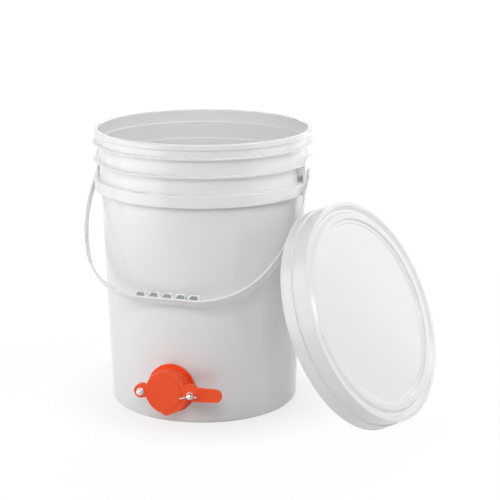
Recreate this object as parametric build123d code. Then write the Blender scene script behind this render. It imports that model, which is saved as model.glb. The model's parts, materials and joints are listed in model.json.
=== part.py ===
from build123d import *
import math
import os

# Honey bucket with a gate, in millimetres.
# The origin is on the floor under the middle of the pail. The gate faces -Y and the ears are on the X axis.

# How far a cutting body passes the face that it opens
cut_past = 1.0

# Pail wall
pail_height = 380.0
wall = 2.4
rim_radius = 147.0
rim_width = 5.2
rim_band_height = 7.0
upper_step = 2.2
lower_step = 1.2
body_step = 1.0
foot_radius = 128.4
foot_corner = 3.0
foot_corner_share = 0.35
floor_thickness = 2.6
floor_recess = 3.0
foot_ring_width = 9.0
inner_corner = 4.0
rim_bevel = 1.2

# Stacking flanges and skirt, with each drop measured down from the rim's top
flange_overhang = 2.2
flange_thickness = 1.8
flange_drops = (17.6, 41.2)
skirt_overhang = 0.8
skirt_drop = 66.2
skirt_height = 15.6
skirt_wall = 1.9
skirt_ribs = 12
skirt_rib_thickness = 1.6

# Underside of the pail
hub_radius = 16.0
base_ribs = 8
base_rib_thickness = 2.0
base_rib_gap = 0.5

# Ear brackets
pivot_drop = 59.0
ear_face_gap = 0.2
ear_half_width = 20.0
ear_plate = 3.0
ear_rise = 24.5
ear_corner = 12.0
ear_slot_height = 20.0
ear_slot_rise = 0.6
ear_pocket_depth = 3.2
ear_pocket_side = 1.0
ear_bevel = 0.6

# Bail handle
stud_radius = 4.5
stud_clearance = 0.1
stud_head_radius = 5.6
stud_head_length = 2.0
ear_play = 0.3
strap_thickness = 2.9
strap_width = 10.0
grip_width = 15.0
widen_start = 94.0
widen_end = 183.0
eye_radius = 9.0
leg_length = 40.0
flank_radius = 260.0
flank_turn = 25.0
grip_corner_radius = 101.0
wall_rest_gap = 0.3

# Finger windows in the grip
windows = 5
window_pitch = 18.4
window_base = 13.2
window_top = 8.0
window_height = 5.6
window_rib = 1.8

# Gate
gate_height = 50.7
bore_radius = 19.0
spigot_radius = 24.0
spigot_length = 24.0
spigot_clearance = 0.5
spigot_bevel = 1.2
collar_radius = 33.0
collar_thickness = 4.0
barrel_radius = 29.5
barrel_length = 11.0
plate_radius = 29.6
plate_thickness = 6.0
plate_ear_thickness = 5.5
plate_ear_radius = 9.5
ear_neck_width = 16.0
pivot_offset_x = -35.5
pivot_offset_z = -0.7
lock_offset_x = 34.0
lock_offset_z = 0.3
seal_minimum = 1.5
seal_inset = 0.5
seal_fit = 0.1

# Ring nut inside the pail
ring_nut_radius = 29.5
ring_nut_thickness = 9.0
ring_nut_lugs = 6
ring_nut_lug_reach = 2.4
ring_nut_lug_width = 9.0
thread_gap = 0.1
inner_seal_minimum = 0.6

# Flap
flap_gap = 0.2
flap_radius = 28.9
flap_thickness = 4.4
flap_lobe_radius = 9.4
flap_boss_radius = 21.8
flap_boss_height = 1.0
flap_boss_bevel = 0.5
lock_ear_radius = 13.5
lock_ear_rise = 2.0
notch_half_width = 3.2
handle_end = 77.2
handle_width = 17.6
handle_root_drop = 2.0
handle_offset_z = 2.8
handle_border = 3.0
handle_recess = 0.8
flap_corner = 1.2
flap_bevel = 0.6
drip_tip_width = 7.0
drip_tip_point = 2.4
drip_tip_reach = 2.2
swing_bolt_clearance = 0.1

# Bolts, washers and nuts
bolt_radius = 2.5
bolt_hole_clearance = 0.1
bolt_head_flats = 8.0
bolt_head_height = 3.5
bolt_end = 2.6
bolt_bevel = 0.5
washer_radius = 5.0
washer_thickness = 1.0
washer_gap = 0.15
wing_gap = 0.1
nut_flats = 8.0
nut_height = 4.0
nut_thread_gap = 0.05
wing_hub_radius = 4.4
wing_hub_top_radius = 3.4
wing_hub_height = 4.5
wing_reach = 12.0
wing_height = 9.0
wing_thickness = 1.7
wing_foot = 1.4
wing_root_height = 4.1
wing_elbow = (9.6, 3.4)
wing_tip_low = 5.6
wing_tip_bevel = 1.2
wing_hollow = (8.2, 7.8)
wing_turn = 10.0

# Lid, built with its outer face up and then leaned against the bail's leg
lid_depth = 38.0
lid_clearance = 0.6
lid_wall = 1.9
lid_band_depth = 22.0
lid_lip = 0.8
lid_lip_height = 3.0
lid_rim_width = 5.0
lid_rim_slope = 2.5
lid_rim_bevel = 1.4
lid_groove_depth = 2.8
lid_groove_width = 4.5
lid_ridge_slope = 4.0
lid_ridge_width = 7.5
lid_ridge_drop = 0.5
lid_panel_slope = 6.0
lid_panel_drop = 5.2
lid_panel_thickness = 2.0
plug_clearance = 0.6
plug_thickness = 1.8
plug_length = 9.0
seal_thickness = 2.5
seal_side_gap = 0.2
lid_bearing = 75.8
lid_lean = 24.2
lid_centre_y = -37.6
lid_floor_gap = 0.2
lid_bail_gap = 0.8
lid_shifts = 5

# Heights and radii that follow from the sizes above
mouth_radius = rim_radius - rim_width
flange_radius = rim_radius + flange_overhang
skirt_radius = rim_radius + skirt_overhang
neck_radius = mouth_radius + wall
waist_radius = neck_radius - upper_step
collar_wall_radius = waist_radius - lower_step
body_top_radius = collar_wall_radius - body_step
flange_heights = [pail_height - drop for drop in flange_drops]
skirt_top = pail_height - skirt_drop
skirt_bottom = skirt_top - skirt_height
pivot_height = pail_height - pivot_drop
ear_face = flange_radius + ear_face_gap
leg_inner = ear_face + ear_play
leg_centre = leg_inner + strap_thickness / 2
leg_outer = leg_inner + strap_thickness


def wall_radius(height):
    """Outer radius of the tapered body at a height."""
    return foot_radius + (body_top_radius - foot_radius) * height / skirt_top


def bar(inner, outer, low, high):
    """Rectangle of a section, from radius inner to outer and from low to high."""
    width = outer - inner
    height = high - low
    return Pos(inner + width / 2, low + height / 2) * Rectangle(width, height)


def nearest_corner(section, x, y):
    """The corner of a flat section that lies nearest to a point."""
    target = Vector(x, y)
    return min(section.vertices(), key=lambda vertex: (Vector(vertex.X, vertex.Y) - target).length)


def bevel(section, x, y, size):
    """Cut the section's corner nearest to a point."""
    return chamfer(nearest_corner(section, x, y), size)


def turned(section):
    """Solid of revolution about Z of a section drawn as radius and height."""
    return revolve(Plane.XZ * section, Axis.Z)


def rod_y(x, z, radius, back, front):
    """Cylinder along Y from y = back, the higher value, to y = front."""
    return Pos(x, (back + front) / 2, z) * Rot(X=90) * Cylinder(radius, abs(back - front))


def rod_x(radius, low, high):
    """Cylinder along X through the ears' axis, from x = low to x = high."""
    return Pos((low + high) / 2, 0, 0) * Rot(Y=90) * Cylinder(radius, high - low)


def slab_y(outline, back, front):
    """Extrude an outline drawn in X and Z from y = back to y = front."""
    return Pos(0, back, 0) * extrude(Plane.XZ * outline, abs(back - front))


def hexagon(flats):
    """Hexagon of a nut or bolt head, with two flats upright."""
    return RegularPolygon(flats / math.sqrt(3), 6, rotation=30)


def hex_y(x, z, flats, back, front):
    """Hexagonal prism along Y, with its corners bevelled at the front."""
    prism = slab_y(Pos(x, z) * hexagon(flats), back, front)
    length = abs(back - front)
    cone = Pos(x, (back + front) / 2, z) * Rot(X=90) * Cone(flats / 2 + length, flats / 2, length)
    return prism & cone


def pail_sections():
    """Section of the pail's moulded shell, and the section of its inside."""
    upper, lower = flange_heights
    floor_top = floor_recess + floor_thickness
    body = Polyline((0, 0), (foot_radius, 0), (body_top_radius, skirt_top), (0, skirt_top), close=True)
    solid = make_face(body)
    solid += bar(0, collar_wall_radius, skirt_top, lower)
    solid += bar(0, waist_radius, lower, upper)
    solid += bar(0, neck_radius, upper, pail_height)
    solid += bar(0, rim_radius, pail_height - rim_band_height, pail_height)
    solid += bar(0, skirt_radius, skirt_top - skirt_wall, skirt_top)
    solid += bar(skirt_radius - skirt_wall, skirt_radius, skirt_bottom, skirt_top)
    for height in flange_heights:
        solid += bar(0, flange_radius, height - flange_thickness, height)
    solid -= bar(0, foot_radius - foot_ring_width, 0, floor_recess)
    inner_foot = wall_radius(floor_top) - wall
    inner_top = body_top_radius - wall
    inside = make_face(
        Polyline((0, floor_top), (inner_foot, floor_top), (inner_top, skirt_top), (0, skirt_top), close=True)
    )
    inside = bevel(inside, inner_foot, floor_top, inner_corner)
    inside += bar(0, collar_wall_radius - wall, skirt_top, lower)
    inside += bar(0, waist_radius - wall, lower, upper)
    inside += bar(0, mouth_radius, upper, pail_height)
    shell = solid - inside
    shell = bevel(shell, foot_radius, 0, foot_corner)
    shell = bevel(shell, foot_radius, foot_corner, foot_corner * foot_corner_share)
    shell = bevel(shell, rim_radius, pail_height, rim_bevel)
    shell = bevel(shell, mouth_radius, pail_height, rim_bevel)
    return shell, inside


def ear_slot():
    """Space behind an ear plate that takes the bail's stud, with a pocket in the wall behind it."""
    low = skirt_top + ear_slot_rise
    depth_start = collar_wall_radius - ear_pocket_depth
    depth_end = ear_face - ear_plate
    size = (depth_end - depth_start, 2 * (ear_half_width + ear_pocket_side), ear_slot_height)
    return Pos((depth_start + depth_end) / 2, 0, low + ear_slot_height / 2) * Box(*size)


def ear_block():
    """Arch-topped ear bracket on the +X side, still solid, cored from below behind the skirt."""
    top = pivot_height + ear_rise
    outline = make_face(
        Polyline(
            (-ear_half_width, skirt_bottom),
            (ear_half_width, skirt_bottom),
            (ear_half_width, top),
            (-ear_half_width, top),
            close=True,
        )
    )
    for side in (-ear_half_width, ear_half_width):
        outline = fillet(nearest_corner(outline, side, top), ear_corner)
    start = body_top_radius - wall - ear_plate
    block = Pos(start, 0, 0) * extrude(Plane.YZ * outline, ear_face - start)
    front_edges = block.faces().sort_by(Axis.X)[-1].edges()
    block = chamfer(front_edges, ear_bevel)
    core_start = body_top_radius
    core_end = ear_face - ear_plate
    core_height = skirt_height - skirt_wall
    core = Box(core_end - core_start, 2 * (ear_half_width - skirt_wall), core_height)
    return block - Pos((core_start + core_end) / 2, 0, skirt_bottom + core_height / 2) * core


def ear_pocket_back():
    """Wall patch behind the pocket, standing into the pail so that the wall stays whole there."""
    low = skirt_top + ear_slot_rise - wall
    start = collar_wall_radius - ear_pocket_depth - wall
    end = collar_wall_radius - wall
    size = (end - start, 2 * (ear_half_width + ear_pocket_side + wall), ear_slot_height + 2 * wall)
    return Pos((start + end) / 2, 0, low + size[2] / 2) * Box(*size)


def radial_ribs(count, start, end, thickness, low, high):
    """Thin upright ribs around the axis, each from radius start to radius end."""
    rib = Pos((start + end) / 2, 0, (low + high) / 2) * Box(end - start, thickness, high - low)
    return [Rot(Z=360 * (index + 0.5) / count) * rib for index in range(count)]


def make_pail():
    """Pail with rim, flanges, skirt, ears, foot ring and base ribs."""
    shell, inside = pail_sections()
    pail = turned(shell)
    sides = (0, 180)
    pail += [Rot(Z=side) * ear_block() for side in sides]
    pail -= turned(inside)
    rib_top = skirt_top - skirt_wall / 2
    rib_low = skirt_bottom + skirt_wall
    rib_start = body_top_radius - wall / 2
    rib_end = skirt_radius - skirt_wall / 2
    pail += radial_ribs(skirt_ribs, rib_start, rib_end, skirt_rib_thickness, rib_low, rib_top)
    recess_top = floor_recess + floor_thickness / 2
    pail += Pos(0, 0, recess_top / 2) * Cylinder(hub_radius, recess_top)
    base_end = foot_radius - foot_ring_width / 2
    pail += radial_ribs(base_ribs, hub_radius / 2, base_end, base_rib_thickness, base_rib_gap, recess_top)
    for side in sides:
        pail += Rot(Z=side) * ear_pocket_back()
        pail -= Rot(Z=side) * ear_slot()
        stud_hole = rod_x(stud_radius + stud_clearance, ear_face - 2 * ear_plate, ear_face + cut_past)
        pail -= Rot(Z=side) * Pos(0, 0, pivot_height) * stud_hole
    hole_back = -foot_radius / 2
    pail -= rod_y(0, gate_height, spigot_radius + spigot_clearance, hole_back, -rim_radius)
    return pail


def strap_edge(offset):
    """Closed outline inside one edge of the bail's strap, offset outward from its centre line."""
    half = leg_centre + offset
    flank_centre = leg_centre - flank_radius
    flank = CenterArc((flank_centre, -leg_length), flank_radius + offset, -flank_turn, flank_turn)
    turn = math.radians(flank_turn)
    bend = flank_radius - grip_corner_radius
    bend_centre = (flank_centre + bend * math.cos(turn), -leg_length - bend * math.sin(turn))
    bend_arc = CenterArc(bend_centre, grip_corner_radius + offset, -90, 90 - flank_turn)
    low = bend_centre[1] - grip_corner_radius - offset
    right = [Line((half, 0), (half, -leg_length)), flank, bend_arc]
    left = [mirror(line, Plane.YZ) for line in right]
    grip = Line((bend_centre[0], low), (-bend_centre[0], low))
    return make_face(right + left + [grip, Line((half, 0), (-half, 0))])


def grip_depth():
    """Distance from the bail's axis to the centre line of its grip."""
    turn = math.radians(flank_turn)
    return leg_length + flank_radius * math.sin(turn) + grip_corner_radius * (1 - math.sin(turn))


def finger_row():
    """Row of open cells that stands on the concave side of the grip."""
    base = strap_thickness / 2 - grip_depth()
    cells = []
    for index in range(windows):
        middle = (index - (windows - 1) / 2) * window_pitch
        window = Polyline(
            (middle - window_base / 2, base),
            (middle + window_base / 2, base),
            (middle + window_top / 2, base + window_height),
            (middle - window_top / 2, base + window_height),
            close=True,
        )
        cell = Polyline(
            (middle - window_pitch / 2 - window_rib / 2, base - strap_thickness / 2),
            (middle + window_pitch / 2 + window_rib / 2, base - strap_thickness / 2),
            (middle + window_top / 2 + window_rib, base + window_height + window_rib),
            (middle - window_top / 2 - window_rib, base + window_height + window_rib),
            close=True,
        )
        cells.append(make_face(cell) - make_face(window))
    row = cells[0]
    for cell in cells[1:]:
        row += cell
    return row


def rest_angle():
    """Angle from straight down at which the hanging bail's grip touches the tapered wall."""
    slope = (body_top_radius - foot_radius) / skirt_top
    reach = grip_depth() - strap_thickness / 2 - window_height - window_rib
    half_width = grip_width / 2
    sine_part = reach + slope * half_width
    cosine_part = slope * reach - half_width
    target = foot_radius + slope * pivot_height + wall_rest_gap
    size = math.hypot(sine_part, cosine_part)
    return math.degrees(math.asin(target / size) - math.atan2(cosine_part, sine_part))


def make_bail():
    """Bail handle, hanging forward at its rest angle with the grip against the wall."""
    edge = strap_thickness / 2
    outline = strap_edge(edge) - strap_edge(-edge) + finger_row()
    bail = extrude(Plane.XZ * outline, grip_width / 2, both=True)
    deep = grip_depth() + strap_thickness
    side_view = Polyline(
        (-strap_width / 2, 0),
        (strap_width / 2, 0),
        (strap_width / 2, -widen_start),
        (grip_width / 2 + cut_past, -widen_end),
        (grip_width / 2 + cut_past, -deep),
        (-grip_width / 2 - cut_past, -deep),
        (-grip_width / 2 - cut_past, -widen_end),
        (-strap_width / 2, -widen_start),
        close=True,
    )
    bail &= extrude(Plane.YZ * make_face(side_view), leg_outer + cut_past, both=True)
    head_end = ear_face - ear_plate - ear_play
    eye = rod_x(eye_radius, leg_inner, leg_outer)
    eye += rod_x(stud_radius, head_end - stud_head_length / 2, leg_inner + strap_thickness / 2)
    eye += rod_x(stud_head_radius, head_end - stud_head_length, head_end)
    bail += [eye, Rot(Z=180) * eye]
    return Pos(0, 0, pivot_height) * Rot(X=-rest_angle()) * bail


# Places along Y of the gate's stack, from the inside of the pail outward
collar_back = -(wall_radius(gate_height + collar_radius) + seal_minimum)
barrel_back = collar_back - collar_thickness
plate_back = barrel_back - barrel_length
plate_front = plate_back - plate_thickness
plate_ear_back = plate_front + plate_ear_thickness
spigot_end = collar_back + spigot_length
flap_back = plate_front - flap_gap
flap_front = flap_back - flap_thickness
washer_back = flap_front - washer_gap
washer_front = washer_back - washer_thickness
pivot_x = pivot_offset_x
pivot_z = gate_height + pivot_offset_z
lock_x = lock_offset_x
lock_z = gate_height + lock_offset_z
handle_z = gate_height + handle_offset_z
bolt_hole_radius = bolt_radius + bolt_hole_clearance
inner_seal_radius = ring_nut_radius - seal_inset
inner_wall_low = wall_radius(gate_height - inner_seal_radius) - wall
nut_face = inner_seal_minimum - math.sqrt(inner_wall_low**2 - inner_seal_radius**2)


def wall_cone(offset):
    """Solid bounded by the tapered wall's outside, offset outward."""
    low = foot_radius + offset
    high = body_top_radius + offset
    return Pos(0, 0, skirt_top / 2) * Cone(low, high, skirt_top)


def ear_outline(x, z, radius):
    """Round ear joined to the gate's middle by a straight neck."""
    neck = Pos(x / 2, z) * Rectangle(abs(x), ear_neck_width)
    return Pos(x, z) * Circle(radius) + neck


def make_gate_body():
    """Threaded spigot, collar, barrel and front plate with two ears, bored right through."""
    plate = Pos(0, gate_height) * Circle(plate_radius)
    ears = ear_outline(pivot_x, pivot_z, plate_ear_radius) + ear_outline(lock_x, lock_z, plate_ear_radius)
    spigot = rod_y(0, gate_height, spigot_radius, spigot_end, collar_back)
    spigot = chamfer(spigot.edges().sort_by(Axis.Y)[-1], spigot_bevel)
    body = spigot + rod_y(0, gate_height, collar_radius, collar_back, barrel_back)
    body += rod_y(0, gate_height, barrel_radius, barrel_back, plate_back)
    body += slab_y(plate, plate_back, plate_front)
    body += slab_y(ears, plate_ear_back, plate_front)
    body -= rod_y(0, gate_height, bore_radius, spigot_end + cut_past, plate_front - cut_past)
    for x, z in ((pivot_x, pivot_z), (lock_x, lock_z)):
        body -= rod_y(x, z, bolt_hole_radius, plate_ear_back + cut_past, plate_front - cut_past)
    return body


def make_outer_gasket():
    """Rubber ring between the flat collar and the round, tapered wall."""
    ring = rod_y(0, gate_height, collar_radius - seal_inset, collar_back + collar_radius, collar_back)
    ring -= rod_y(0, gate_height, spigot_radius + seal_fit, 0, collar_back - cut_past)
    return ring - wall_cone(seal_fit)


def make_inner_gasket():
    """Rubber ring between the round inner wall and the flat ring nut."""
    ring = rod_y(0, gate_height, inner_seal_radius, nut_face, nut_face - inner_seal_radius)
    ring -= rod_y(0, gate_height, spigot_radius + seal_fit, 0, -rim_radius)
    return ring & wall_cone(-wall - seal_fit)


def make_ring_nut():
    """Large plastic nut with grip lugs, screwed on the spigot inside the pail."""
    nut = rod_y(0, gate_height, ring_nut_radius, nut_face + ring_nut_thickness, nut_face)
    reach = ring_nut_radius + ring_nut_lug_reach
    start = (ring_nut_radius + spigot_radius) / 2
    lug = Pos((start + reach) / 2, 0, 0) * Box(reach - start, ring_nut_thickness, ring_nut_lug_width)
    middle = Pos(0, nut_face + ring_nut_thickness / 2, gate_height)
    nut += [middle * Rot(Y=360 * index / ring_nut_lugs) * lug for index in range(ring_nut_lugs)]
    return nut - rod_y(0, gate_height, spigot_radius + thread_gap, 0, nut_face - cut_past)


def lock_notch():
    """Slot that follows the lock bolt's path as the flap swings, open at the lower edge."""
    swing = math.hypot(lock_x - pivot_x, lock_z - pivot_z)
    start = math.degrees(math.atan2(lock_z - pivot_z, lock_x - pivot_x))
    turn = math.degrees(lock_ear_radius / swing)
    path = CenterArc((pivot_x, pivot_z), swing, start, -turn)
    return SlotArc(path, 2 * notch_half_width)


def rounded(outline, radius):
    """Round every corner of an outline, one after the other."""
    places = [Vector(vertex.X, vertex.Y) for vertex in outline.vertices()]
    for place in places:
        outline = fillet(nearest_corner(outline, place.X, place.Y), radius)
    return outline


def handle_outline(border):
    """Outline of the flap's handle, inset by a border."""
    half = handle_width / 2 - border
    start = lock_x + border
    end = handle_end - handle_width / 2
    root_low = handle_z - half - handle_root_drop
    side = Polyline(
        (start, handle_z + half),
        (start, root_low),
        (lock_x + lock_ear_radius, root_low),
        (end, handle_z - half),
        (end, handle_z + half),
        close=True,
    )
    return make_face(side) + Pos(end, handle_z) * Circle(half)


def drip_tip():
    """Small pointed lip under the flap's disc."""
    side = math.sqrt(flap_radius**2 - drip_tip_width**2)
    low = gate_height - flap_radius - drip_tip_reach
    tip = Polyline(
        (-drip_tip_width, gate_height - side),
        (-drip_tip_point, low),
        (drip_tip_point, low),
        (drip_tip_width, gate_height - side),
        (0, gate_height),
        close=True,
    )
    return make_face(tip)


def make_flap():
    """Swinging flap with its pivot lobe, notched ear, raised boss, handle and drip tip."""
    ear = Pos(lock_x, lock_z + lock_ear_rise) * Circle(lock_ear_radius)
    handle_low = handle_z - handle_width / 2 - handle_root_drop
    ear -= Pos(lock_x, handle_low - lock_ear_radius) * Rectangle(2 * lock_ear_radius, 2 * lock_ear_radius)
    outline = Pos(0, gate_height) * Circle(flap_radius)
    outline += ear_outline(pivot_x, pivot_z, flap_lobe_radius)
    outline += ear
    outline += handle_outline(0)
    outline += drip_tip()
    flap = slab_y(rounded(outline, flap_corner), flap_back, flap_front)
    flap = chamfer(flap.faces().sort_by(Axis.Y)[0].edges(), flap_bevel)
    flap -= slab_y(lock_notch(), flap_back + cut_past, flap_front - cut_past)
    boss_back = flap_back - flap_thickness / 2
    boss = rod_y(0, gate_height, flap_boss_radius, boss_back, flap_front - flap_boss_height)
    flap += chamfer(boss.edges().sort_by(Axis.Y)[0], flap_boss_bevel)
    clear_ear = Pos(lock_x, lock_z + lock_ear_rise) * Circle(lock_ear_radius)
    recess = handle_outline(handle_border) - clear_ear
    flap -= slab_y(recess, flap_front + handle_recess, flap_front - cut_past)
    hole_radius = bolt_radius + swing_bolt_clearance
    return flap - rod_y(pivot_x, pivot_z, hole_radius, flap_back + cut_past, flap_front - cut_past)


def make_bolt(x, z, end):
    """Hex bolt through a plate ear, with its head behind the ear and its tip at y = end."""
    head_back = plate_ear_back + bolt_head_height
    head = slab_y(Pos(x, z) * hexagon(bolt_head_flats), head_back, plate_ear_back)
    shank = rod_y(x, z, bolt_radius, plate_ear_back + bolt_head_height / 2, end)
    shank = chamfer(shank.edges().sort_by(Axis.Y)[0], bolt_bevel)
    return head + shank


def make_washer(x, z):
    """Flat washer in front of the flap."""
    disc = rod_y(x, z, washer_radius, washer_back, washer_front)
    return disc - rod_y(x, z, bolt_hole_radius, washer_back + cut_past, washer_front - cut_past)


def make_pivot_nut():
    """Hex nut on the pivot bolt."""
    nut_front = washer_front - nut_height
    nut = hex_y(pivot_x, pivot_z, nut_flats, washer_front, nut_front)
    hole_radius = bolt_radius + nut_thread_gap
    return nut - rod_y(pivot_x, pivot_z, hole_radius, washer_front + cut_past, nut_front - cut_past)


def make_wing_nut():
    """Wing nut on the lock bolt, with its wings lifted clear of the flap's boss."""
    hub = Cone(wing_hub_radius, wing_hub_top_radius, wing_hub_height)
    hub = Pos(0, 0, wing_hub_height / 2) * hub
    wing = Polyline(
        (0, wing_foot),
        (wing_hub_radius, wing_foot),
        wing_elbow,
        (wing_reach, wing_tip_low),
        (wing_reach, wing_height - wing_tip_bevel),
        (wing_reach - wing_tip_bevel, wing_height),
        wing_hollow,
        (wing_hub_radius, wing_root_height),
        (0, wing_root_height),
        close=True,
    )
    wing = extrude(Plane.XZ * make_face(wing), wing_thickness / 2, both=True)
    nut = hub + [wing, Rot(Z=180) * wing]
    nut -= Cylinder(bolt_radius + nut_thread_gap, 4 * wing_height)
    place = Pos(lock_x, washer_front - wing_gap, lock_z) * Rot(X=90) * Rot(Z=wing_turn)
    return place * nut


def lid_place(nearest_x):
    """Place of the lid's open edge, leaned back with its edge on the floor and its nearest point at an X."""
    lean = math.radians(lid_lean)
    bearing = math.radians(lid_bearing)
    normal = Vector(math.cos(lean) * math.sin(bearing), -math.cos(lean) * math.cos(bearing), math.sin(lean))
    edge = lid_edge_radius
    centre_x = nearest_x + edge * math.sqrt(1 - normal.X**2)
    centre_z = lid_floor_gap + edge * math.sqrt(1 - normal.Z**2)
    sideways = Vector(0, 0, 1).cross(normal)
    return Plane(origin=(centre_x, lid_centre_y, centre_z), x_dir=sideways, z_dir=normal).location


# Radii and depths of the lid, with each depth measured back from its face
lid_upper_inner = rim_radius + lid_clearance
lid_upper_outer = lid_upper_inner + lid_wall
lid_lower_inner = flange_radius + lid_clearance
lid_lower_outer = lid_lower_inner + lid_wall
lid_edge_radius = lid_lower_outer + lid_lip
plug_outer = mouth_radius - plug_clearance
plug_inner = plug_outer - plug_thickness
channel_depth = lid_groove_depth + lid_panel_thickness
lid_rim_inner = lid_upper_outer - lid_rim_width
groove_outer = lid_rim_inner - lid_rim_slope
groove_inner = groove_outer - lid_groove_width
ridge_outer = groove_inner - lid_ridge_slope
ridge_inner = ridge_outer - lid_ridge_width
panel_radius = ridge_inner - lid_panel_slope


def lid_profile(points):
    """Closed section of the lid from radius and depth pairs."""
    return make_face(Polyline(*[(radius, lid_depth - depth) for radius, depth in points], close=True))


def make_lid():
    """Snap lid with a stepped skirt, a raised ridge, a sunk panel and a plug inside the mouth."""
    under = lid_panel_thickness
    section = lid_profile(
        [
            (0, lid_panel_drop),
            (panel_radius, lid_panel_drop),
            (ridge_inner, lid_ridge_drop),
            (ridge_outer, lid_ridge_drop),
            (groove_inner, lid_groove_depth),
            (groove_outer, lid_groove_depth),
            (lid_rim_inner, 0),
            (lid_upper_outer, 0),
            (lid_upper_outer, lid_band_depth),
            (lid_lower_outer, lid_band_depth),
            (lid_lower_outer, lid_depth - lid_lip_height),
            (lid_edge_radius, lid_depth - lid_lip_height + lid_lip),
            (lid_edge_radius, lid_depth),
            (lid_lower_inner, lid_depth),
            (lid_lower_inner, lid_band_depth + lid_wall),
            (lid_upper_inner, lid_band_depth + lid_wall),
            (lid_upper_inner, channel_depth),
            (plug_outer, channel_depth),
            (plug_outer, channel_depth + plug_length),
            (plug_inner, channel_depth + plug_length),
            (plug_inner, channel_depth),
            (groove_inner - under / 2, channel_depth),
            (ridge_outer - under / 2, lid_ridge_drop + under),
            (ridge_inner + under / 2, lid_ridge_drop + under),
            (panel_radius + under / 2, lid_panel_drop + under),
            (0, lid_panel_drop + under),
        ]
    )
    section = bevel(section, lid_upper_outer, lid_depth, lid_rim_bevel)
    return turned(section)


def make_lid_gasket():
    """Sealing ring in the channel between the lid's skirt and its plug."""
    inner = plug_outer + seal_side_gap
    outer = lid_upper_inner - seal_side_gap
    top = lid_depth - channel_depth
    return turned(bar(inner, outer, top - seal_thickness, top))


def lean_on(lid, bail):
    """Place of the lid that brings it down along X until it stands just clear of the hanging bail."""
    nearest_x = leg_outer + lid_bail_gap
    for _ in range(lid_shifts):
        nearest_x -= (lid_place(nearest_x) * lid).distance_to(bail) - lid_bail_gap
    return lid_place(nearest_x)


bail = make_bail()
lid = make_lid()
lid_lean_place = lean_on(lid, bail)
bolt_tip = washer_front - nut_height - bolt_end
lock_tip = washer_front - wing_gap - wing_hub_height - bolt_end
pieces = {
    "pail": make_pail(),
    "bail_handle": bail,
    "lid": lid_lean_place * lid,
    "lid_gasket": lid_lean_place * make_lid_gasket(),
    "gate_body": make_gate_body(),
    "outer_gasket": make_outer_gasket(),
    "inner_gasket": make_inner_gasket(),
    "gate_ring_nut": make_ring_nut(),
    "gate_flap": make_flap(),
    "pivot_bolt": make_bolt(pivot_x, pivot_z, bolt_tip),
    "pivot_washer": make_washer(pivot_x, pivot_z),
    "pivot_nut": make_pivot_nut(),
    "lock_bolt": make_bolt(lock_x, lock_z, lock_tip),
    "lock_washer": make_washer(lock_x, lock_z),
    "wing_nut": make_wing_nut(),
}
os.makedirs("parts", exist_ok=True)
for name, piece in pieces.items():
    export_step(piece, f"parts/{name}.step")
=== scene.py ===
import bpy
import bmesh
import json
import math
from mathutils import Matrix, Vector


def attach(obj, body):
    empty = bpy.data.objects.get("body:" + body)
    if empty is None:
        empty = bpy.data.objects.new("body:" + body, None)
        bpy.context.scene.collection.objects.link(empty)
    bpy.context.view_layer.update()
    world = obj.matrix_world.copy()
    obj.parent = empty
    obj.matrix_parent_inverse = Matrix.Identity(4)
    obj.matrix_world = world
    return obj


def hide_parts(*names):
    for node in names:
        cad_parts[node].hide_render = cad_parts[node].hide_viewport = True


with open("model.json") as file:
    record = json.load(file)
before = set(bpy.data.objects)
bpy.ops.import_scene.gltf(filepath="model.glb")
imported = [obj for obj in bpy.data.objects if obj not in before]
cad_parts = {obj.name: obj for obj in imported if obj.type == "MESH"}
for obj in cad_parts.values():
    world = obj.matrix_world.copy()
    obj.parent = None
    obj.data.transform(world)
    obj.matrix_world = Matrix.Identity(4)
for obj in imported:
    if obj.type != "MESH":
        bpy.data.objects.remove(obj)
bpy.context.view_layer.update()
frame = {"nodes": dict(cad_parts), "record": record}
nodes = frame["nodes"]
scene = bpy.context.scene

# Camera: the photograph's viewing angle, worked out from the pail's rings and edges, in radians and metres
TURN = math.radians(19.0)
PITCH = 0.2503
YAW = 0.0312
DISTANCE = 2.0449
HEIGHT = 0.7289
LENS_MM = 109.75
SENSOR_MM = 36.0
VIEW_END = 60.0


def from_view(x, y, z):
    """Turns a direction or place in the camera's upright frame into the model's frame."""
    return Vector((x * math.cos(TURN) - y * math.sin(TURN), x * math.sin(TURN) + y * math.cos(TURN), z))


def add_camera():
    data = bpy.data.cameras.new("photo_camera")
    data.lens = LENS_MM
    data.sensor_width = SENSOR_MM
    data.clip_end = VIEW_END
    camera = bpy.data.objects.new("photo_camera", data)
    scene.collection.objects.link(camera)
    camera.location = from_view(0.0, -DISTANCE, HEIGHT)
    level = math.cos(PITCH)
    forward = from_view(math.sin(YAW) * level, math.cos(YAW) * level, -math.sin(PITCH))
    camera.rotation_euler = forward.to_track_quat("-Z", "Y").to_euler()
    scene.camera = camera


# Node helpers. Most of a noise's values lie in its middle band.
NOISE_BAND = (0.3, 0.7)


def new_material(name):
    material = bpy.data.materials.new(name)
    material.use_nodes = True
    tree = material.node_tree
    shader = next(n for n in tree.nodes if n.type == "BSDF_PRINCIPLED")
    return material, tree, shader


def add(tree, kind, **settings):
    node = tree.nodes.new(kind)
    for key, value in settings.items():
        setattr(node, key, value)
    return node


def noise(tree, vector, scale, detail):
    node = add(tree, "ShaderNodeTexNoise")
    node.inputs["Scale"].default_value = scale
    node.inputs["Detail"].default_value = detail
    tree.links.new(vector, node.inputs["Vector"])
    return node.outputs["Fac"]


def maths(tree, operation, first, second):
    node = add(tree, "ShaderNodeMath", operation=operation)
    tree.links.new(first, node.inputs[0])
    tree.links.new(second, node.inputs[1])
    return node.outputs[0]


def spread(tree, value, low, high, to_low, to_high):
    node = add(tree, "ShaderNodeMapRange")
    for key, number in zip(("From Min", "From Max", "To Min", "To Max"), (low, high, to_low, to_high)):
        node.inputs[key].default_value = number
    tree.links.new(value, node.inputs["Value"])
    return node.outputs["Result"]


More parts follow.
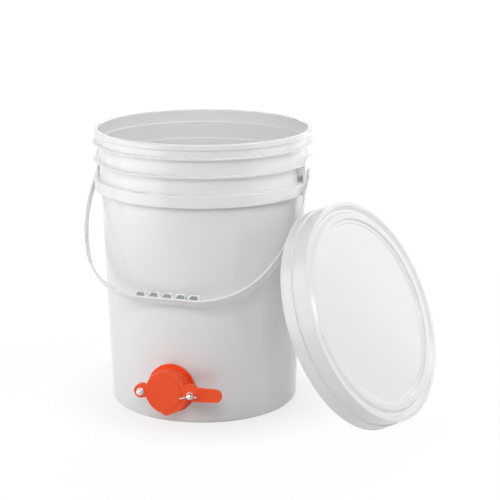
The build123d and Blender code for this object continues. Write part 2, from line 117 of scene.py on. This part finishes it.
def two_colours(tree, factor, first, second):
    node = add(tree, "ShaderNodeMix", data_type="RGBA")
    node.inputs["A"].default_value = (*first, 1.0)
    node.inputs["B"].default_value = (*second, 1.0)
    tree.links.new(factor, node.inputs["Factor"])
    return node.outputs["Result"]


def mottled(tree, shader, clouds, first, second):
    """Colour that drifts between two near ones."""
    factor = spread(tree, clouds, *NOISE_BAND, 0.0, 1.0)
    tree.links.new(two_colours(tree, factor, first, second), shader.inputs["Base Color"])


def uneven(tree, shader, clouds, smooth, rough):
    """Roughness that drifts between two values."""
    tree.links.new(spread(tree, clouds, *NOISE_BAND, smooth, rough), shader.inputs["Roughness"])


def glossy(shader, ior, specular):
    shader.inputs["IOR"].default_value = ior
    shader.inputs["Specular IOR Level"].default_value = specular


def bump(tree, shader, height, distance, strength):
    node = add(tree, "ShaderNodeBump")
    node.inputs["Distance"].default_value = distance
    node.inputs["Strength"].default_value = strength
    tree.links.new(height, node.inputs["Height"])
    tree.links.new(node.outputs["Normal"], shader.inputs["Normal"])


def object_place(tree, stretch=(1.0, 1.0, 1.0)):
    place = add(tree, "ShaderNodeTexCoord").outputs["Object"]
    mapping = add(tree, "ShaderNodeMapping")
    mapping.inputs["Scale"].default_value = stretch
    tree.links.new(place, mapping.inputs["Vector"])
    return mapping.outputs["Vector"]


# Materials
DOWN_THE_WALL = (1.0, 1.0, 0.12)


def white_plastic():
    """Smooth moulded polyethylene: cool near-white with faint flow marks and a gently wavy skin."""
    material, tree, shader = new_material("white_polyethylene")
    place = object_place(tree)
    flow = noise(tree, object_place(tree, DOWN_THE_WALL), scale=18.0, detail=4.0)
    mottled(tree, shader, flow, (0.852, 0.857, 0.865), (0.862, 0.866, 0.874))
    uneven(tree, shader, noise(tree, place, scale=25.0, detail=2.0), smooth=0.17, rough=0.2)
    glossy(shader, ior=1.52, specular=0.55)
    bump(tree, shader, noise(tree, place, scale=14.0, detail=1.0), distance=0.0004, strength=0.3)
    return material


def orange_plastic():
    """Orange moulding plastic with a soft gloss, a slightly mottled colour and a fine skin."""
    material, tree, shader = new_material("orange_moulding")
    place = object_place(tree)
    clouds = noise(tree, place, scale=60.0, detail=3.0)
    mottled(tree, shader, clouds, (0.955, 0.072, 0.004), (0.985, 0.088, 0.006))
    uneven(tree, shader, noise(tree, place, scale=120.0, detail=2.0), smooth=0.3, rough=0.36)
    glossy(shader, ior=1.5, specular=0.45)
    bump(tree, shader, noise(tree, place, scale=350.0, detail=2.0), distance=0.00006, strength=0.25)
    return material


def plated_steel():
    """Bright plated steel with small handling marks."""
    material, tree, shader = new_material("plated_steel")
    place = object_place(tree)
    shader.inputs["Metallic"].default_value = 1.0
    clouds = noise(tree, place, scale=400.0, detail=4.0)
    mottled(tree, shader, clouds, (0.60, 0.60, 0.61), (0.74, 0.74, 0.75))
    uneven(tree, shader, noise(tree, place, scale=900.0, detail=3.0), smooth=0.14, rough=0.2)
    bump(tree, shader, noise(tree, place, scale=900.0, detail=2.0), distance=0.00002, strength=0.3)
    return material


def seal_rubber():
    """Pale sealing rubber with a dull, slightly grained surface."""
    material, tree, shader = new_material("seal_rubber")
    place = object_place(tree)
    clouds = noise(tree, place, scale=200.0, detail=4.0)
    mottled(tree, shader, clouds, (0.60, 0.60, 0.57), (0.68, 0.68, 0.65))
    uneven(tree, shader, noise(tree, place, scale=700.0, detail=3.0), smooth=0.55, rough=0.72)
    bump(tree, shader, noise(tree, place, scale=3000.0, detail=2.0), distance=0.0001, strength=0.3)
    return material


# Shape helpers. Angles are in radians and lengths in metres.
SHARP = math.radians(28.0)
FLAT = math.radians(1.0)
MERGE = 4e-6
EDGE_SEGMENTS = 2
CORNER_STEPS = 4
CORNER_REACH = 0.48
RINGS_PER_TURN = 8


def softened(node, width):
    """Copy of a CAD node with its sharp edges rounded, as moulded and machined edges are."""
    shape = bmesh.new()
    shape.from_mesh(nodes[node].data)
    bmesh.ops.remove_doubles(shape, verts=shape.verts, dist=MERGE)
    bmesh.ops.dissolve_limit(shape, angle_limit=FLAT, verts=shape.verts, edges=shape.edges)
    sharp = [edge for edge in shape.edges if edge.calc_face_angle(0.0) > SHARP]
    bmesh.ops.bevel(shape, geom=sharp, offset=width, offset_type="OFFSET", segments=EDGE_SEGMENTS,
                    profile=0.5, affect="EDGES", clamp_overlap=False)
    return shape


def cut_off(shape, point, direction):
    """Drops what lies past a plane, and closes the cut."""
    everything = shape.verts[:] + shape.edges[:] + shape.faces[:]
    done = bmesh.ops.bisect_plane(shape, geom=everything, plane_co=point, plane_no=direction,
                                  clear_outer=True)
    edges = [part for part in done["geom_cut"] if isinstance(part, bmesh.types.BMEdge)]
    bmesh.ops.triangle_fill(shape, edges=edges, use_beauty=True)


def frame_at(origin, x_axis, y_axis, z_axis):
    """Matrix of a local frame from its origin and its three axes."""
    columns = Matrix((x_axis, y_axis, z_axis)).transposed().to_4x4()
    return Matrix.Translation(origin) @ columns


def rounded(corners):
    """Points of an open section given as radius, height and corner radius, with its corners rounded."""
    points = [Vector(corners[0][:2])]
    for before, (x, y, size), after in zip(corners, corners[1:], corners[2:]):
        corner = Vector((x, y))
        back = Vector(before[:2]) - corner
        onward = Vector(after[:2]) - corner
        half = back.angle(onward) / 2
        run = min(size / math.tan(half), CORNER_REACH * back.length, CORNER_REACH * onward.length)
        back.normalize()
        onward.normalize()
        centre = corner + (back + onward).normalized() * (run / math.cos(half))
        start = corner + back * run - centre
        turn = start.angle_signed(corner + onward * run - centre)
        for step in range(CORNER_STEPS + 1):
            angle = -turn * step / CORNER_STEPS
            points.append(centre + Matrix.Rotation(angle, 2) @ start)
    points.append(Vector(corners[-1][:2]))
    return points


def ring_skin(shape, place, rows, around, closed=False):
    """Surface through rings. Each row gives a radius and a height for an angle. A radius of 0 is a point."""
    rings = []
    for row in rows:
        if row(0.0)[0] == 0.0:
            ring = [shape.verts.new(place @ Vector((0.0, 0.0, row(0.0)[1])))]
        else:
            ring = []
            for index in range(around):
                angle = 2 * math.pi * index / around
                radius, height = row(angle)
                point = Vector((radius * math.cos(angle), radius * math.sin(angle), height))
                ring.append(shape.verts.new(place @ point))
        rings.append(ring)
    pairs = list(zip(rings, rings[1:]))
    if closed:
        pairs.append((rings[-1], rings[0]))
    for low, high in pairs:
        for index in range(around):
            following = (index + 1) % around
            corners = [low[index % len(low)], low[following % len(low)]]
            corners += [high[following % len(high)], high[index % len(high)]]
            shape.faces.new(dict.fromkeys(corners))


def fixed(radius, height):
    """Row of a ring with the same radius and height all round."""
    return lambda angle: (radius, height)


def turned(section, place, around):
    """Solid turned about a place's Z axis from a section that starts and ends on the axis."""
    shape = bmesh.new()
    ring_skin(shape, place, [fixed(point.x, point.y) for point in section], around)
    bmesh.ops.recalc_face_normals(shape, faces=shape.faces)
    return shape


def thread_rows(radius, depth, pitch, start, end):
    """Rings of a right-hand screw thread with its crests at the radius, run out at both ends."""
    count = math.ceil((end - start) / pitch * RINGS_PER_TURN)
    rows = []
    for index in range(count + 1):
        height = start + (end - start) * index / count
        run_out = radius - depth + min(height - start, end - height)

        def ring(angle, height=height, run_out=run_out):
            wave = 0.5 + 0.5 * math.cos(2 * math.pi * (height / pitch) - angle)
            return min(radius - depth * wave, run_out), height

        rows.append(ring)
    return rows


def finish_piece(shape, name, body, slot, *replaced):
    """Turns a shape into a piece that rides on a body and stands for CAD nodes."""
    mesh = bpy.data.meshes.new(name)
    bmesh.ops.recalc_face_normals(shape, faces=shape.faces)
    shape.to_mesh(mesh)
    shape.free()
    mesh.shade_smooth()
    mesh.materials.append(materials[slot])
    piece = bpy.data.objects.new(name, mesh)
    scene.collection.objects.link(piece)
    weigh = piece.modifiers.new("face_weighted", "WEIGHTED_NORMAL")
    weigh.keep_sharp = False
    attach(piece, body)
    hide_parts(*replaced)


# Lid: its frame on the floor beside the pail, in metres, with Z out of its face
LID_ORIGIN = (0.218656, -0.0376, 0.139298)
LID_X = (0.245307, 0.969445, 0.0)
LID_Y = (-0.397398, 0.100557, 0.91212)
LID_Z = (0.884251, -0.22375, 0.409923)
LID_AROUND = 180

# Lid's section in millimetres: radius, depth from the face's plane and radius of the corner
MM = 1000
LID_DEPTH = 38.0
LID_SECTION = [
    (0, 5.2, 0),
    (120.6, 5.2, 0.5),
    (121.5, 3.9, 0.6),
    (125.2, 3.7, 0.7),
    (126.6, 0.5, 1.0),
    (134, 0.5, 1.4),
    (137.2, 4.6, 0.8),
    (139.8, 4.6, 0.8),
    (144.1, 0, 0.9),
    (149.5, 0, 1.6),
    (149.5, 22, 0.5),
    (151.7, 22, 0.9),
    (151.7, 35, 0.6),
    (152.5, 35.8, 0.4),
    (152.5, 38, 0.6),
    (149.8, 38, 0.6),
    (149.8, 23.9, 0.8),
    (147.6, 23.9, 0.6),
    (147.6, 4.8, 0.8),
    (141.2, 4.8, 0.8),
    (141.2, 13.8, 0.8),
    (139.4, 13.8, 0.8),
    (139.4, 6.6, 0.6),
    (136.2, 6.6, 1.0),
    (132.8, 2.5, 1.5),
    (128.2, 2.5, 1.2),
    (126.8, 5.6, 1.0),
    (122.8, 7.2, 1.0),
    (0, 7.2, 0),
]


def add_lid():
    place = frame_at(LID_ORIGIN, LID_X, LID_Y, LID_Z)
    corners = [
        (radius / MM, (LID_DEPTH - depth) / MM, corner / MM)
        for radius, depth, corner in LID_SECTION
    ]
    shape = turned(rounded(corners), place, LID_AROUND)
    finish_piece(shape, "lid_moulding", "lid", "white_plastic", "lid")


# Gate: Y of the washers' fronts, and X and Z of the bolts and the bore, in metres
WASHER_FRONT = -0.159691
PIVOT = (-0.0355, 0.050)
LOCK = (0.034, 0.051)
BORE = (0.0, 0.0507)

# Bolts, whose thread and plain shank overlap under the washer's front
BOLT_RADIUS = 0.0025
BOLT_THREAD_DEPTH = 0.00042
BOLT_PITCH = 0.0008
BOLT_EDGE = 0.0002
BOLT_AROUND = 48
OVERLAP = 0.0005
PIVOT_BOLT_TIP = -0.16629
LOCK_BOLT_TIP = -0.16689


def outward(x, z):
    """Local frame whose Z axis runs out of the pail along -Y, at a place on the gate."""
    return frame_at((x, 0.0, z), (1, 0, 0), (0, 0, 1), (0, -1, 0))


def add_bolt(node, x, z, tip):
    """Bolt with a machined thread on the end that shows."""
    shape = softened(node, BOLT_EDGE)
    cut_off(shape, Vector((x, WASHER_FRONT - OVERLAP, z)), Vector((0, -1, 0)))
    start = -WASHER_FRONT - OVERLAP
    rows = [fixed(0.0, start)]
    rows += thread_rows(BOLT_RADIUS, BOLT_THREAD_DEPTH, BOLT_PITCH, start, -tip)
    rows.append(fixed(0.0, -tip))
    ring_skin(shape, outward(x, z), rows, BOLT_AROUND)
    finish_piece(shape, node + "_threaded", "pail", "plated_steel", node)


# Hex nut; its corners are cut to a radius at each depth from an end
NUT_HALF_WIDTH = 0.004
NUT_HEIGHT = 0.004
NUT_BORE = 0.00255
NUT_MOUTH = 0.0029
NUT_MOUTH_DEPTH = 0.0003
NUT_CORNERS = [(0.0039, 0.0), (0.00415, 0.00012), (0.0044, 0.00028), (0.0047, 0.0005)]
NUT_AROUND = 96


def hexagon(limit, height):
    """Row of the nut's six flats with the corners cut to a radius."""

    def ring(angle):
        side = (angle + math.pi / 6) % (math.pi / 3) - math.pi / 6
        return min(NUT_HALF_WIDTH / math.cos(side), limit), height

    return ring


def add_pivot_nut():
    """Hex nut with its corners turned off and its bore widened at both ends."""
    low, high = -WASHER_FRONT, -WASHER_FRONT + NUT_HEIGHT
    rows = [fixed(NUT_MOUTH, low)]
    rows += [hexagon(limit, low + depth) for limit, depth in NUT_CORNERS]
    rows += [hexagon(limit, high - depth) for limit, depth in reversed(NUT_CORNERS)]
    rows.append(fixed(NUT_MOUTH, high))
    rows += [fixed(NUT_BORE, high - NUT_MOUTH_DEPTH), fixed(NUT_BORE, low + NUT_MOUTH_DEPTH)]
    shape = bmesh.new()
    ring_skin(shape, outward(*PIVOT), rows, NUT_AROUND, closed=True)
    finish_piece(shape, "pivot_nut_turned", "pail", "plated_steel", "pivot_nut")


# Gate's spigot, which runs from behind the collar into the pail
GATE_EDGE = 0.0005
COLLAR_BACK = 0.132941
COLLAR_STUB = 0.0006
SPIGOT_LENGTH = 0.024
SPIGOT_RADIUS = 0.024
SPIGOT_THREAD_DEPTH = 0.0011
SPIGOT_PITCH = 0.003
SPIGOT_ROOT = 0.0015
SPIGOT_AROUND = 144
BORE_RADIUS = 0.019
MOUTH_RADIUS = 0.0192
MOUTH_DEPTH = 0.0004
END_RADIUS = 0.0205


def add_gate_body():
    """Gate body with a coarse thread on its spigot."""
    x, z = BORE
    shape = softened("gate_body", GATE_EDGE)
    cut_off(shape, Vector((x, -COLLAR_BACK + COLLAR_STUB, z)), Vector((0, 1, 0)))
    end = COLLAR_BACK - SPIGOT_LENGTH
    root = COLLAR_BACK + SPIGOT_ROOT
    rows = [fixed(MOUTH_RADIUS, end), fixed(END_RADIUS, end)]
    rows += thread_rows(SPIGOT_RADIUS, SPIGOT_THREAD_DEPTH, SPIGOT_PITCH, end, root)
    rows += [fixed(BORE_RADIUS, root), fixed(BORE_RADIUS, end + MOUTH_DEPTH)]
    ring_skin(shape, outward(x, z), rows, SPIGOT_AROUND, closed=True)
    finish_piece(shape, "gate_body_threaded", "pail", "orange_plastic", "gate_body")


# Pieces that are CAD nodes with softened edges: body and edge width in metres
SOFTENED = {
    "pail": ("pail", 0.00028),
    "bail_handle": ("bail", 0.0006),
    "gate_flap": ("flap", 0.0004),
    "gate_ring_nut": ("pail", 0.0006),
    "pivot_washer": ("pail", 0.00015),
    "lock_washer": ("pail", 0.00015),
    "wing_nut": ("wing_nut", 0.0003),
    "lid_gasket": ("lid", 0.0005),
    "outer_gasket": ("pail", 0.0002),
    "inner_gasket": ("pail", 0.0002),
}


def add_softened():
    slots = {part["node"]: part["material_slot"] for part in frame["record"]["subparts"]}
    for node, (body, width) in SOFTENED.items():
        finish_piece(softened(node, width), node + "_finished", body, slots[node], node)


# Stage. The floor glows for rays that see it directly: least under the object, where its shadow shows.
AMBIENT = 0.03
FLOOR_REACH = 12.0
FLOOR_DROP = 0.0002
FLOOR_GREY = (0.75, 0.75, 0.75, 1.0)
FLOOR_ROUGHNESS = 0.9
FLOOR_SPECULAR = 0.1
FLOOR_GLOW = 1.02
NEAR_GLOW_SHARE = 0.7
MIDDLE_GLOW_SHARE = 0.93
NEAR_RING = (0.125, 0.22)
FAR_RING = (0.35, 0.9)


def seen_directly(tree):
    """One for rays that should see the plain white background, straight or by reflection."""
    path = add(tree, "ShaderNodeLightPath")
    value = path.outputs["Is Camera Ray"]
    for name in ("Is Glossy Ray", "Is Transmission Ray"):
        value = maths(tree, "MAXIMUM", value, path.outputs[name])
    return value


def add_world():
    world = bpy.data.worlds.new("studio")
    scene.world = world
    world.use_nodes = True
    tree = world.node_tree
    background = next(n for n in tree.nodes if n.type == "BACKGROUND")
    background.inputs["Color"].default_value = (1.0, 1.0, 1.0, 1.0)
    strength = spread(tree, seen_directly(tree), 0.0, 1.0, AMBIENT, 1.0)
    tree.links.new(strength, background.inputs["Strength"])


def floor_glow_share(tree):
    """Share of the glow in the floor's look, which rises with the distance from the pail's axis."""
    away = add(tree, "ShaderNodeVectorMath", operation="LENGTH")
    tree.links.new(add(tree, "ShaderNodeTexCoord").outputs["Object"], away.inputs[0])
    distance = away.outputs["Value"]
    near = spread(tree, distance, *NEAR_RING, NEAR_GLOW_SHARE, MIDDLE_GLOW_SHARE)
    far = spread(tree, distance, *FAR_RING, 0.0, 1.0 - MIDDLE_GLOW_SHARE)
    return maths(tree, "MULTIPLY", seen_directly(tree), maths(tree, "ADD", near, far))


def floor_white():
    """Plain pale floor that keeps the object's soft shadow and fades to white."""
    material, tree, shader = new_material("floor_white")
    shader.inputs["Base Color"].default_value = FLOOR_GREY
    shader.inputs["Roughness"].default_value = FLOOR_ROUGHNESS
    shader.inputs["Specular IOR Level"].default_value = FLOOR_SPECULAR
    glow = add(tree, "ShaderNodeEmission")
    glow.inputs["Strength"].default_value = FLOOR_GLOW
    mix = add(tree, "ShaderNodeMixShader")
    out = next(n for n in tree.nodes if n.type == "OUTPUT_MATERIAL")
    tree.links.new(floor_glow_share(tree), mix.inputs["Fac"])
    tree.links.new(shader.outputs[0], mix.inputs[1])
    tree.links.new(glow.outputs[0], mix.inputs[2])
    tree.links.new(mix.outputs[0], out.inputs["Surface"])
    return material


def add_floor():
    mesh = bpy.data.meshes.new("floor")
    reach = FLOOR_REACH
    corners = [(-reach, -reach, 0), (reach, -reach, 0), (reach, reach, 0), (-reach, reach, 0)]
    mesh.from_pydata(corners, [], [(0, 1, 2, 3)])
    mesh.materials.append(floor_white())
    floor = bpy.data.objects.new("floor", mesh)
    scene.collection.objects.link(floor)
    floor.location.z = -FLOOR_DROP


# Upright panels round the object: bearing in degrees, distance, width, height and radiance
PANELS = {
    "left_panel": (-68.0, 1.0, 1.0, 1.4, 1.5),
    "left_rear_panel": (-105.0, 1.1, 0.8, 1.3, 0.45),
    "right_panel": (74.0, 1.15, 1.0, 1.3, 1.0),
    "right_rear_panel": (125.0, 1.15, 0.8, 1.3, 0.9),
}

# Boxes that aim at the pail's middle: place in the camera's upright frame, width, height and radiance
PAIL_MIDDLE = (0.0, 0.0, 0.2)
BOXES = {
    "front_box": ((0.0, -2.2, 1.7), 1.2, 1.0, 5.9),
    "high_right_box": ((1.3, -0.6, 2.2), 1.2, 1.2, 3.1),
    "back_box": ((0.0, 1.8, 1.6), 2.0, 1.2, 3.8),
}


def add_lamp(name, place, target, width, height, radiance):
    """Soft box at a place in the camera's upright frame, with its brightness given as radiance."""
    data = bpy.data.lights.new(name, "AREA")
    data.shape = "RECTANGLE"
    data.size = width
    data.size_y = height
    data.energy = radiance * math.pi * width * height
    lamp = bpy.data.objects.new(name, data)
    scene.collection.objects.link(lamp)
    lamp.location = from_view(*place)
    aim = from_view(*target) - lamp.location
    lamp.rotation_euler = aim.to_track_quat("-Z", "Y").to_euler()
    lamp.visible_camera = False


def add_panel(name, bearing, distance, width, height, radiance):
    """Upright soft box on the floor, at a bearing from the camera, facing the middle of the object."""
    turn = math.radians(bearing)
    place = (distance * math.sin(turn), -distance * math.cos(turn), height / 2)
    add_lamp(name, place, (0.0, 0.0, height / 2), width, height, radiance)


def add_light():
    for name, panel in PANELS.items():
        add_panel(name, *panel)
    for name, (place, width, height, radiance) in BOXES.items():
        add_lamp(name, place, PAIL_MIDDLE, width, height, radiance)


materials = {
    "white_plastic": white_plastic(),
    "orange_plastic": orange_plastic(),
    "plated_steel": plated_steel(),
    "seal_rubber": seal_rubber(),
}
add_camera()
add_world()
add_floor()
add_light()
add_softened()
add_lid()
add_gate_body()
add_pivot_nut()
add_bolt("pivot_bolt", *PIVOT, PIVOT_BOLT_TIP)
add_bolt("lock_bolt", *LOCK, LOCK_BOLT_TIP)
scene.view_settings.view_transform = "Standard"
